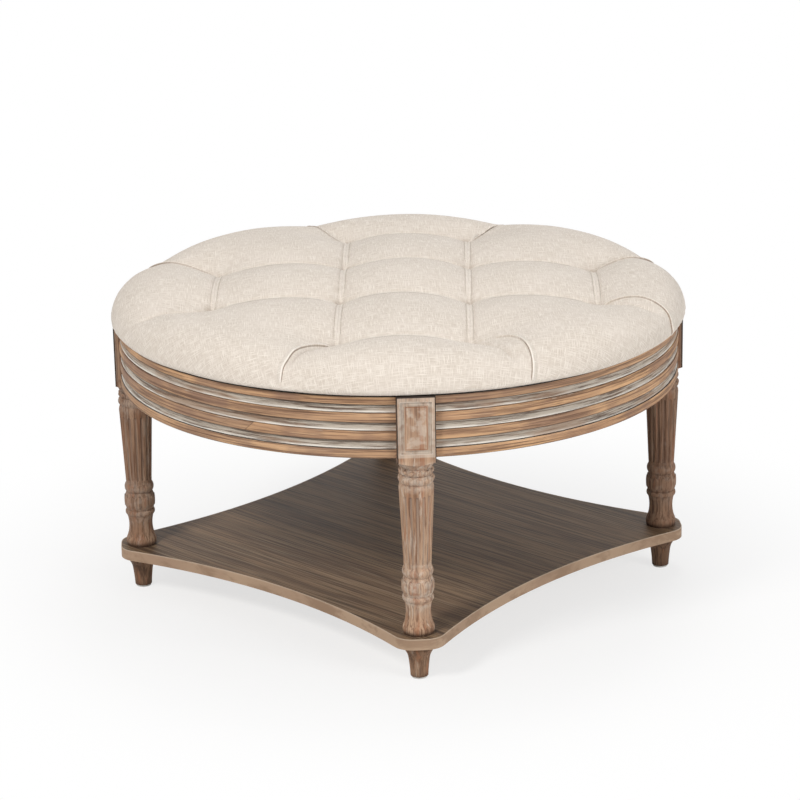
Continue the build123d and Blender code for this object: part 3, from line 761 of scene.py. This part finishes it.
def add_floor():
    bm = bmesh.new()
    bmesh.ops.create_grid(bm, x_segments=1, y_segments=1, size=FLOOR_HALF)
    floor = new_piece("floor", bm, floor_material(), body=None)


def add_world():
    """Soft light from all round, behind which the background is white."""
    world = bpy.data.worlds.new("studio")
    world.use_nodes = True
    world.node_tree.nodes.clear()
    bpy.context.scene.world = world
    graph = Graph(world.node_tree)
    soft = graph.add("ShaderNodeBackground", {"Color": WORLD_COLOUR, "Strength": WORLD_STRENGTH})
    white = graph.add("ShaderNodeBackground", {"Color": WHITE, "Strength": 1.0})
    blend = graph.add("ShaderNodeMixShader",
                      {0: seen_directly(graph), 1: soft.outputs[0], 2: white.outputs[0]})
    graph.add("ShaderNodeOutputWorld", {0: blend.outputs[0]})


def add_lamp(name, place, target, size, power, colour=(1.0, 1.0, 1.0)):
    light = bpy.data.lights.new(name, "AREA")
    light.shape = "DISK"
    light.size = size
    light.energy = power
    light.color = colour
    holder = bpy.data.objects.new(name, light)
    bpy.context.scene.collection.objects.link(holder)
    holder.matrix_world = look(place, target)


add_floor()
add_world()
add_lamp("key", (-2.0, -2.2, 2.8), target=(0, 0, 0.3), size=1.0, power=90, colour=(1.0, 0.985, 0.965))
add_lamp("fill", (2.6, -2.4, 1.6), target=(0, 0, 0.3), size=1.8, power=63, colour=(1.0, 0.99, 0.975))
add_lamp("back", (0.4, 1.2, 3.2), target=(0, 0, 0.4), size=1.4, power=29)

bpy.context.scene.view_settings.view_transform = "Standard"


# Cloth materials

LINEN_SPACING = 0.0011
THREAD_WOBBLE = 0.0006
# Slubs are long along their thread and thin across it, in cycles a metre
WARP_SLUBS = (760, 55, 1)
WEFT_SLUBS = (55, 760, 1)
LINEN_BUMP = 0.0005
LINEN_DARK = rgb(201, 190, 178)
LINEN_LIGHT = rgb(234, 227, 218)
LINEN_BETWEEN_THREADS = rgb(186, 170, 154)
LINEN_CLOUD = rgb(224, 215, 206)
LINEN_FOLD_SHADE = rgb(116, 92, 74)
LINEN_HIGHLIGHT = rgb(248, 242, 234)


def cloth_threads():
    """Thread height and slub streaks of a plain linen weave, from cloth coordinates in metres."""
    graph, given, out = new_group(
        "linen_weave",
        [("Cloth", "NodeSocketVector", None), ("Thread", "NodeSocketFloat", LINEN_SPACING)],
        [("Height", "NodeSocketFloat"), ("Slub", "NodeSocketFloat")])
    cloth, thread = given.outputs["Cloth"], given.outputs["Thread"]
    along_and_across = graph.split(cloth)
    wobble = graph.product(graph.math("SUBTRACT", graph.noise(cloth, 260, 2), 0.5), THREAD_WOBBLE)
    waves = []
    for axis in (0, 1):
        count = graph.math("DIVIDE", graph.math("ADD", along_and_across[axis], wobble), thread)
        waves.append(graph.math("ABSOLUTE", graph.math("SINE", graph.product(count, math.pi))))
    slub = graph.math("MAXIMUM", graph.streaks(cloth, WARP_SLUBS, 3, 0.6),
                      graph.streaks(cloth, WEFT_SLUBS, 3, 0.6))
    height = graph.product(graph.math("ADD", waves[0], waves[1]), 0.5)
    graph.feed(out.inputs["Height"], graph.math("MULTIPLY_ADD", slub, 0.5, height))
    graph.feed(out.inputs["Slub"], slub)
    return graph.tree


linen_weave = cloth_threads()


def linen_material():
    """Cream linen with painted shade in its folds and a painted highlight where a fold catches the light."""
    material, graph, shader = new_material("cream_linen", roughness=0.92, specular=0.25)
    shader.inputs["Sheen Weight"].default_value = 0.15
    shader.inputs["Sheen Roughness"].default_value = 0.5
    cloth = graph.add("ShaderNodeUVMap", uv_map="cloth").outputs[0]
    weave = graph.group(linen_weave, {"Cloth": cloth, "Thread": LINEN_SPACING})
    fold_shade = graph.add("ShaderNodeAttribute", attribute_name="shade").outputs["Fac"]
    colour = graph.mix(graph.ramp(weave["Slub"], 0.40, 0.74), LINEN_DARK, LINEN_LIGHT)
    colour = graph.mix(graph.ramp(weave["Height"], 0.45, 0.95, 0.25, 0.0), colour, LINEN_BETWEEN_THREADS)
    colour = graph.mix(graph.mask(graph.noise(cloth, 14, 3), 0.4, 0.7, 0.25), colour, LINEN_CLOUD)
    # Painted shade in the folds and painted highlight on their lit edges, from the shade attribute
    colour = graph.mix(graph.mask(fold_shade, 0.0, 1.0, 0.66), colour, LINEN_FOLD_SHADE)
    colour = graph.mix(graph.mask(fold_shade, 0.0, -1.0, 0.8), colour, LINEN_HIGHLIGHT)
    graph.feed(shader.inputs["Base Color"], colour)
    graph.feed(shader.inputs["Normal"], graph.bump(weave["Height"], 0.4, LINEN_BUMP))
    return material


def cloth_material(name, colour, darker, thread):
    """Plain woven cloth or cord, without folds."""
    material, graph, shader = new_material(name, roughness=0.95, specular=0.1)
    weave = graph.group(linen_weave, {"Cloth": graph.object_place(), "Thread": thread})
    graph.feed(shader.inputs["Base Color"],
               graph.mix(graph.ramp(weave["Height"], 0.3, 1.0), darker, colour))
    graph.feed(shader.inputs["Normal"], graph.bump(weave["Height"], 0.4, 0.0004))
    return material


# Wood materials

WOOD_BUMP = 0.0004


def timber_marks():
    """Grain of a planed board: broad figure, fine streaks, pores and patches of wash, each from 0 to 1."""
    graph, given, out = new_group(
        "timber",
        [(label, "NodeSocketFloat", 0.0) for label in ("Along", "Across", "Deep", "Seed")],
        [(label, "NodeSocketFloat") for label in ("Figure", "Streak", "Pores", "Wash")])
    board = graph.join(*(graph.math("ADD", given.outputs[label], given.outputs["Seed"])
                         for label in ("Along", "Across", "Deep")))
    figure = graph.streaks(board, (5, 55, 55), 3, 0.5, 0.6)
    streak = graph.streaks(board, (9, 330, 330), 4, 0.65, 0.3)
    pores = graph.streaks(board, (32, 1500, 1500), 2, 0.5)
    wash = graph.streaks(board, (14, 110, 110), 4, 0.7, 0.4)
    results = {"Figure": graph.ramp(figure, 0.32, 0.68), "Streak": graph.ramp(streak, 0.30, 0.70),
               "Pores": graph.ramp(pores, 0.60, 0.72), "Wash": graph.ramp(wash, 0.50, 0.72)}
    for label, value in results.items():
        graph.feed(out.inputs[label], value)
    return graph.tree


timber = timber_marks()


def board_marks(graph, along, across, deep, seed):
    return graph.group(timber, {"Along": along, "Across": across, "Deep": deep, "Seed": seed})


def wood_colour(graph, marks, dark, mid, light, pore=0.5):
    """Base colour of bare wood from its grain marks."""
    colour = graph.mix(marks["Figure"], mid, light)
    colour = graph.mix(graph.product(graph.ramp(marks["Streak"], 0.65, 0.1), 0.75), colour, dark)
    return graph.mix(graph.product(marks["Pores"], pore), colour, dark)


def finish_wood(graph, shader, colour, marks, bump=0.35):
    graph.feed(shader.inputs["Base Color"], colour)
    graph.feed(shader.inputs["Normal"], graph.bump(marks["Streak"], bump, WOOD_BUMP))


def ring_place(graph):
    """Way round the table at the apron's face, distance from the middle, and height."""
    x, y, z = graph.split(graph.object_place())
    square = graph.math("MULTIPLY_ADD", x, x, graph.product(y, y))
    return graph.product(graph.math("ARCTAN2", y, x), APRON_RADIUS), graph.math("SQRT", square), z


# Apron: courses of a raised band over a hollow cove, counted down from the top
BAND_HEIGHT = 0.012575
BAND_PITCH = 0.024175
STAVE_LENGTH = math.pi * APRON_RADIUS
# One course has a slanted glue joint at the front left
SCARF_COURSE = 2.0
SCARF_SHIFT = 0.225
SCARF_HEIGHT = 0.339
SCARF_SLANT = 1.1

OAK_DARK = rgb(102, 73, 54)
OAK_MID = rgb(178, 139, 106)
OAK_LIGHT = rgb(212, 170, 128)
OAK_GREYER = rgb(146, 120, 102)
OAK_PATCH = rgb(126, 98, 84)
OAK_DARK_VEIN = rgb(98, 71, 54)
OAK_PALE_VEIN = rgb(207, 172, 138)
OAK_RUBBED_EDGE = rgb(196, 184, 170)
GLUE_JOINT = rgb(92, 70, 56)
BAND_FOOT_SHADE = rgb(56, 44, 37)
APRON_TOP_SHADOW = rgb(38, 30, 26)
COVE_DARK = rgb(102, 86, 74)
COVE_GREY = rgb(182, 172, 159)
COVE_LIP_WASH_AND_HIGHLIGHT = rgb(216, 211, 203)
COVE_BARE = rgb(146, 116, 92)
COVE_SPLIT = rgb(78, 62, 52)
COVE_CREASE_SHADE = rgb(48, 40, 35)


def cove_colour(graph, arc, z, depth):
    """Streaky grey wash of a cove with a pale lip at its foot, which is wash with a painted highlight, rubbed
    down to bare wood in places.
    """
    split = graph.streaks(graph.join(arc, z, 0.7), (13, 430, 1), 5, 0.75)
    bare = graph.streaks(graph.join(arc, z, 0.3), (9, 60, 1), 3)
    # Pale lip: whitewash with a painted highlight where the lip faces up
    lip_wash_and_highlight = graph.product(graph.ramp(depth, 0.66, 0.86), graph.ramp(split, 0.34, 0.56, 0.25, 1.0))
    grey = graph.mix(graph.ramp(split, 0.40, 0.56), COVE_DARK, COVE_GREY)
    grey = graph.mix(lip_wash_and_highlight, grey, COVE_LIP_WASH_AND_HIGHLIGHT)
    grey = graph.mix(graph.product(graph.ramp(bare, 0.5, 0.66), 0.6), grey, COVE_BARE)
    return graph.mix(graph.mask(split, 0.42, 0.34, 0.8), grey, COVE_SPLIT)


def apron_material():
    """Bare tan bands and grey washed coves with a pale lip that is wash and painted highlight, painted shade
    in the crease under it and under each band, and a painted shadow along the top.
    """
    material, graph, shader = new_material("apron_oak", roughness=0.68, specular=0.3)
    arc, radius, z = ring_place(graph)
    drop = graph.math("SUBTRACT", APRON_TOP, z)
    course = graph.math("FLOOR", graph.math("DIVIDE", drop, BAND_PITCH))
    phase = graph.math("SUBTRACT", drop, graph.product(course, BAND_PITCH))
    # Half rounds of each course meet behind the blocks, and those of one course at a slanted scarf joint
    scarfed = graph.math("COMPARE", course, SCARF_COURSE, 0.5)
    slanted = graph.math("MULTIPLY_ADD", z, -SCARF_SLANT, arc)
    slanted = graph.math("MULTIPLY_ADD", scarfed, SCARF_SHIFT, slanted)
    slanted = graph.math("ADD", slanted, STAVE_LENGTH / 2 + SCARF_SLANT * SCARF_HEIGHT)
    stave = graph.math("FLOOR", graph.math("DIVIDE", slanted, STAVE_LENGTH))
    seed = graph.math("MULTIPLY_ADD", stave, 3.17, graph.product(course, 7.31))
    # Bands
    marks = board_marks(graph, arc, z, radius, seed)
    colour = wood_colour(graph, marks, OAK_DARK, OAK_MID, OAK_LIGHT, 0.45)
    tone = graph.add("ShaderNodeTexWhiteNoise", {"W": seed}, noise_dimensions="1D").outputs["Value"]
    greyer = graph.product(scarfed, graph.math("LESS_THAN", slanted, 0.0))
    tone = graph.math("MULTIPLY_ADD", greyer, 0.8, tone, clamp=True)
    colour = graph.mix(graph.mask(tone, 0.0, 1.0, 0.5), colour, OAK_GREYER)
    ring = graph.join(arc, z, seed)
    colour = graph.mix(graph.mask(graph.noise(ring, 11, 3), 0.45, 0.64, 0.62), colour, OAK_PATCH)
    vein = graph.streaks(ring, (6, 380, 1), 5, 0.7, 0.5)
    colour = graph.mix(graph.mask(vein, 0.51, 0.62, 0.80), colour, OAK_DARK_VEIN)
    colour = graph.mix(graph.mask(vein, 0.42, 0.34, 0.55), colour, OAK_PALE_VEIN)
    joint = graph.ramp(graph.math("ABSOLUTE", slanted), 0.0012, 0.0004)
    colour = graph.mix(graph.product(joint, scarfed, 0.6), colour, GLUE_JOINT)
    # Painted shade along the foot of each band, where it overhangs the cove
    band_foot_shade = graph.between(phase, BAND_HEIGHT - 0.0010, BAND_HEIGHT - 0.0005,
                              BAND_HEIGHT + 0.0004, BAND_HEIGHT + 0.0009)
    colour = graph.mix(graph.product(band_foot_shade, 0.8), colour, BAND_FOOT_SHADE)
    # Coves
    depth = graph.math("DIVIDE", graph.math("SUBTRACT", phase, BAND_HEIGHT), BAND_PITCH - BAND_HEIGHT)
    hollow = graph.product(graph.ramp(radius, APRON_RADIUS - 0.0002, APRON_RADIUS - 0.0009),
                           graph.ramp(depth, -0.02, 0.04))
    colour = graph.mix(hollow, colour, cove_colour(graph, arc, z, depth))
    # Painted shade in the crease at the cove's foot and just under the band at its top
    crease_shade = graph.math("MAXIMUM", graph.ramp(depth, 0.90, 0.97), graph.mask(depth, 0.16, 0.04, 0.9))
    colour = graph.mix(graph.product(hollow, crease_shade, 0.85), colour, COVE_CREASE_SHADE)
    # Painted shadow along the apron's top, under the cushion's edge
    colour = graph.mix(graph.ramp(drop, 0.0030, 0.0018), colour, APRON_TOP_SHADOW)
    # Worn wash on the bands' edges
    rub = graph.product(graph.ramp(phase, 0.0022, 0.0008), graph.mask(marks["Wash"], 0.2, 0.9, 0.5))
    colour = graph.mix(rub, colour, OAK_RUBBED_EDGE)
    finish_wood(graph, shader, colour, marks)
    return material


# Legs: flutes, heights of the shaft and rings as shares of the leg's, and the panel on the block
FLUTES = 16.0
SHAFT_SPAN = (0.39, 0.42, 0.77, 0.80)
LOW_RINGS_SPAN = (0.10, 0.18, 0.36, 0.44)
HIGH_RINGS_SPAN = (0.80, 0.84, 0.96, 1.0)
PANEL_SIDE_MARGIN = 0.005
PANEL_END_MARGIN = 0.008
LEG_RED = rgb(163, 112, 82)
LEG_SHADE_TINT = rgb(104, 72, 52)
PANEL_LINE = rgb(128, 86, 64)
CREVICE_SHADE = rgb(58, 40, 30)
BLOCK_JOINT_SHADOW = rgb(44, 34, 28)


def leg_place(graph):
    """Object place, and place about the nearest leg: outward from its axis and sideways."""
    x, y, z = graph.split(graph.object_place())
    wide, deep = graph.math("ABSOLUTE", x), graph.math("ABSOLUTE", y)
    outward = graph.math("SUBTRACT", graph.math("MAXIMUM", wide, deep), LEG_CIRCLE)
    return x, y, z, outward, graph.math("MINIMUM", wide, deep)


def leg_material(name, dark, mid, light, washed):
    """Turned wood: grain up the leg, brown in the flutes, pale wash on rings, edges and the panel's frame."""
    material, graph, shader = new_material(name, roughness=0.72, specular=0.28)
    x, y, z, outward, sideways = leg_place(graph)
    marks = board_marks(graph, z, x, y, 1.7)
    colour = wood_colour(graph, marks, dark, mid, light, 0.55)
    red = graph.streaks(graph.object_place(), (150, 150, 9), 3)
    colour = graph.mix(graph.mask(red, 0.54, 0.66, 0.55), colour, LEG_RED)
    # Shaft and rings
    turn = graph.math("ARCTAN2", sideways, outward)
    flute = graph.math("COSINE", graph.product(turn, FLUTES))
    height = graph.math("DIVIDE", graph.math("SUBTRACT", z, SHELF_TOP), LEG_HEIGHT)
    shaft = graph.between(height, *SHAFT_SPAN)
    colour = graph.mix(graph.product(graph.ramp(flute, 0.75, 1.0), shaft, 0.5), colour, dark)
    ridge = graph.product(graph.ramp(flute, 0.2, 0.6), shaft, 0.22)
    rings = graph.math("MAXIMUM", graph.between(height, *LOW_RINGS_SPAN),
                       graph.between(height, *HIGH_RINGS_SPAN))
    mottle = graph.noise(graph.object_place(), 120, 2, 0.5)
    wash = graph.math("MAXIMUM", graph.mask(marks["Wash"], 0.1, 0.9, 0.5), ridge)
    wash = graph.math("MAXIMUM", wash, graph.product(rings, graph.ramp(mottle, 0.40, 0.66, 0.10, 0.45)))
    # The framed panel on the block's face
    up = graph.math("ABSOLUTE", graph.math("SUBTRACT", z, APRON_MIDDLE))
    panel_top = APRON_TOP - APRON_MIDDLE - PANEL_END_MARGIN
    from_edge = graph.math("MAXIMUM", graph.math("SUBTRACT", sideways, BLOCK_HALF - PANEL_SIDE_MARGIN),
                           graph.math("SUBTRACT", up, panel_top))
    face = graph.product(graph.ramp(outward, BLOCK_HALF - 0.004, BLOCK_HALF - 0.003),
                         graph.ramp(z, APRON_LOW + 0.002, APRON_LOW + 0.004))
    panel_frame = graph.product(graph.ramp(from_edge, -0.0058, -0.0044),
                                graph.ramp(from_edge, 0.0016, 0.0002, 0.55, 1.0),
                                face, graph.ramp(mottle, 0.3, 0.6, 0.35, 0.75))
    panel = graph.product(graph.ramp(from_edge, -0.0062, -0.0074), face,
                          graph.ramp(mottle, 0.36, 0.62, 0.05, 0.42))
    wash = graph.math("MAXIMUM", wash, graph.math("MAXIMUM", panel_frame, panel))
    # The front leg shows the most wash; the left, back and right legs get less of it and are darkened by
    # painted shade, the left one least
    level = graph.math("MAXIMUM", graph.ramp(y, -0.15, -0.30, 0.42, 1.0), graph.mask(x, -0.2, -0.3, 0.66))
    colour = graph.mix(graph.product(wash, level), colour, washed)
    colour = graph.mix(graph.mask(level, 0.9, 0.5, 0.45), colour, LEG_SHADE_TINT, "MULTIPLY")
    inner_line = graph.between(from_edge, -0.0074, -0.0066, -0.0060, -0.0052)
    colour = graph.mix(graph.product(inner_line, face, 0.6), colour, PANEL_LINE)
    # Painted shade in the crevices from an occlusion mask, and painted shadow along the joints at the block's
    # top and sides
    openness = graph.add("ShaderNodeAmbientOcclusion", {"Distance": 0.014}, samples=6).outputs["AO"]
    crevice_shade = graph.product(graph.mask(openness, 0.90, 0.45, 0.9),
                         graph.ramp(z, APRON_LOW + 0.008, APRON_LOW + 0.004, 0.15, 1.0))
    colour = graph.mix(crevice_shade, colour, CREVICE_SHADE)
    block_side_shadow = graph.product(graph.ramp(sideways, BLOCK_HALF - 0.0015, BLOCK_HALF - 0.0009),
                              graph.ramp(outward, BLOCK_HALF - 0.0024, BLOCK_HALF - 0.0012))
    block_top_shadow = graph.ramp(z, APRON_TOP - 0.0026, APRON_TOP - 0.0016)
    colour = graph.mix(graph.math("MAXIMUM", block_side_shadow, block_top_shadow), colour, BLOCK_JOINT_SHADOW)
    finish_wood(graph, shader, colour, marks, 0.45)
    return material


# Shelf and hidden boards
SHELF_GRAIN = math.radians(47)
VENEER_DARK = rgb(50, 36, 26)
VENEER_MID = rgb(106, 83, 63)
VENEER_LIGHT = rgb(136, 111, 86)
VENEER_PALE_LINE = rgb(148, 129, 106)
VENEER_DARK_LINE = rgb(44, 32, 24)
EDGE_DARK = rgb(142, 116, 94)
EDGE_MID = rgb(160, 133, 111)
EDGE_LIGHT = rgb(174, 148, 124)
EDGE_RUBBED = rgb(206, 190, 170)


def turned_place(graph, angle):
    """Object place turned about the upright, so that x runs along the grain."""
    return graph.add("ShaderNodeVectorRotate", {"Vector": graph.object_place(), "Angle": angle},
                     rotation_type="Z_AXIS").outputs[0]


def shelf_material():
    """Dark grey-brown veneer with long fine grain across the shelf."""
    material, graph, shader = new_material("dark_veneer", roughness=0.55, specular=0.35)
    turned = turned_place(graph, SHELF_GRAIN)
    x, y, z = graph.split(turned)
    marks = board_marks(graph, graph.product(x, 0.6), y, z, 5.2)
    colour = wood_colour(graph, marks, VENEER_DARK, VENEER_MID, VENEER_LIGHT, 0.7)
    pale = graph.streaks(turned, (4, 420, 1), 3, 0.6)
    colour = graph.mix(graph.mask(pale, 0.52, 0.68, 0.8), colour, VENEER_PALE_LINE)
    line = graph.streaks(turned, (3, 300, 1), 4, 0.65)
    colour = graph.mix(graph.mask(line, 0.55, 0.64, 0.65), colour, VENEER_DARK_LINE)
    finish_wood(graph, shader, colour, marks, 0.25)
    return material


def edge_material():
    """Light banding with its grain round the shelf's edge."""
    material, graph, shader = new_material("edge_wood", roughness=0.65, specular=0.3)
    arc, radius, z = ring_place(graph)
    marks = board_marks(graph, arc, graph.product(z, 0.12), graph.product(radius, 0.1), 8.3)
    colour = wood_colour(graph, marks, EDGE_DARK, EDGE_MID, EDGE_LIGHT, 0.15)
    from_top = graph.math("ABSOLUTE", graph.math("SUBTRACT", z, SHELF_TOP))
    colour = graph.mix(graph.mask(from_top, 0.0016, 0.0004, 0.5), colour, EDGE_RUBBED)
    finish_wood(graph, shader, colour, marks, 0.2)
    return material


def board_material(name, dark, mid, light):
    """A plain board with its grain from left to right."""
    material, graph, shader = new_material(name, roughness=0.7, specular=0.3)
    marks = board_marks(graph, *graph.split(graph.object_place()), 2.4)
    finish_wood(graph, shader, wood_colour(graph, marks, dark, mid, light, 0.4), marks)
    return material


def mottled_material(name, colour, roughness, metallic=0.0, scale=60, contrast=0.8):
    """Metal or plastic with slightly darker specks."""
    material, graph, shader = new_material(name, roughness, metallic)
    darker = [c * contrast for c in colour[:3]] + [1.0]
    specks = graph.ramp(graph.noise(graph.object_place(), scale), 0.35, 0.65)
    graph.feed(shader.inputs["Base Color"], graph.mix(specks, colour, darker))
    return material


# Finishes on the pieces

def dress(material, *names):
    for name in names:
        for slot in nodes[name].material_slots:
            slot.material = material


def each_side(prefix):
    return [f"{prefix}_{side}" for side in SIDES]


linen = linen_material()
for piece in [cushion, *pleats]:
    piece.data.materials.clear()
    piece.data.materials.append(linen)
leg_wood = leg_material("leg_wood", rgb(100, 69, 50), rgb(156, 122, 97), rgb(186, 155, 129),
                        rgb(208, 198, 185))
foot_wood = leg_material("foot_wood", rgb(82, 58, 44), rgb(124, 94, 72), rgb(148, 118, 94),
                         rgb(182, 166, 150))
dress(apron_material(), "apron_front_left", "apron_front_right", "apron_back_left", "apron_back_right")
dress(leg_wood, *each_side("leg"))
for carving in carvings:
    carving.data.materials.append(leg_wood)
dress(foot_wood, *each_side("foot"))
dress(shelf_material(), "shelf_veneer")
dress(edge_material(), "shelf_edge_band")
dress(board_material("core_board", rgb(128, 104, 78), rgb(176, 148, 114), rgb(196, 170, 136)), "shelf_panel")
dress(board_material("plywood", rgb(168, 134, 96), rgb(204, 172, 130), rgb(220, 192, 152)), "seat_board")
dress(board_material("block_wood", rgb(150, 118, 84), rgb(190, 158, 118), rgb(208, 178, 138)),
      *each_side("corner_block"))
dress(cloth_material("dust_cloth", rgb(58, 58, 60), rgb(36, 36, 38), 0.0016), "dust_cover")
jute = cloth_material("jute_twine", rgb(206, 186, 150), rgb(150, 128, 96), 0.0012)
dress(jute, "tufting_twine")
twine.data.materials.append(jute)
dress(mottled_material("zinc_steel", rgb(168, 170, 172), roughness=0.38, metallic=0.9, scale=400),
      "leg_bolts", "leg_washers", "leg_inserts", "foot_studs", "stud_inserts", "corner_screws",
      "seat_screws", "cover_staples")
dress(mottled_material("glide_plastic", rgb(206, 204, 200), roughness=0.45, scale=300, contrast=0.93),
      *each_side("glide"))
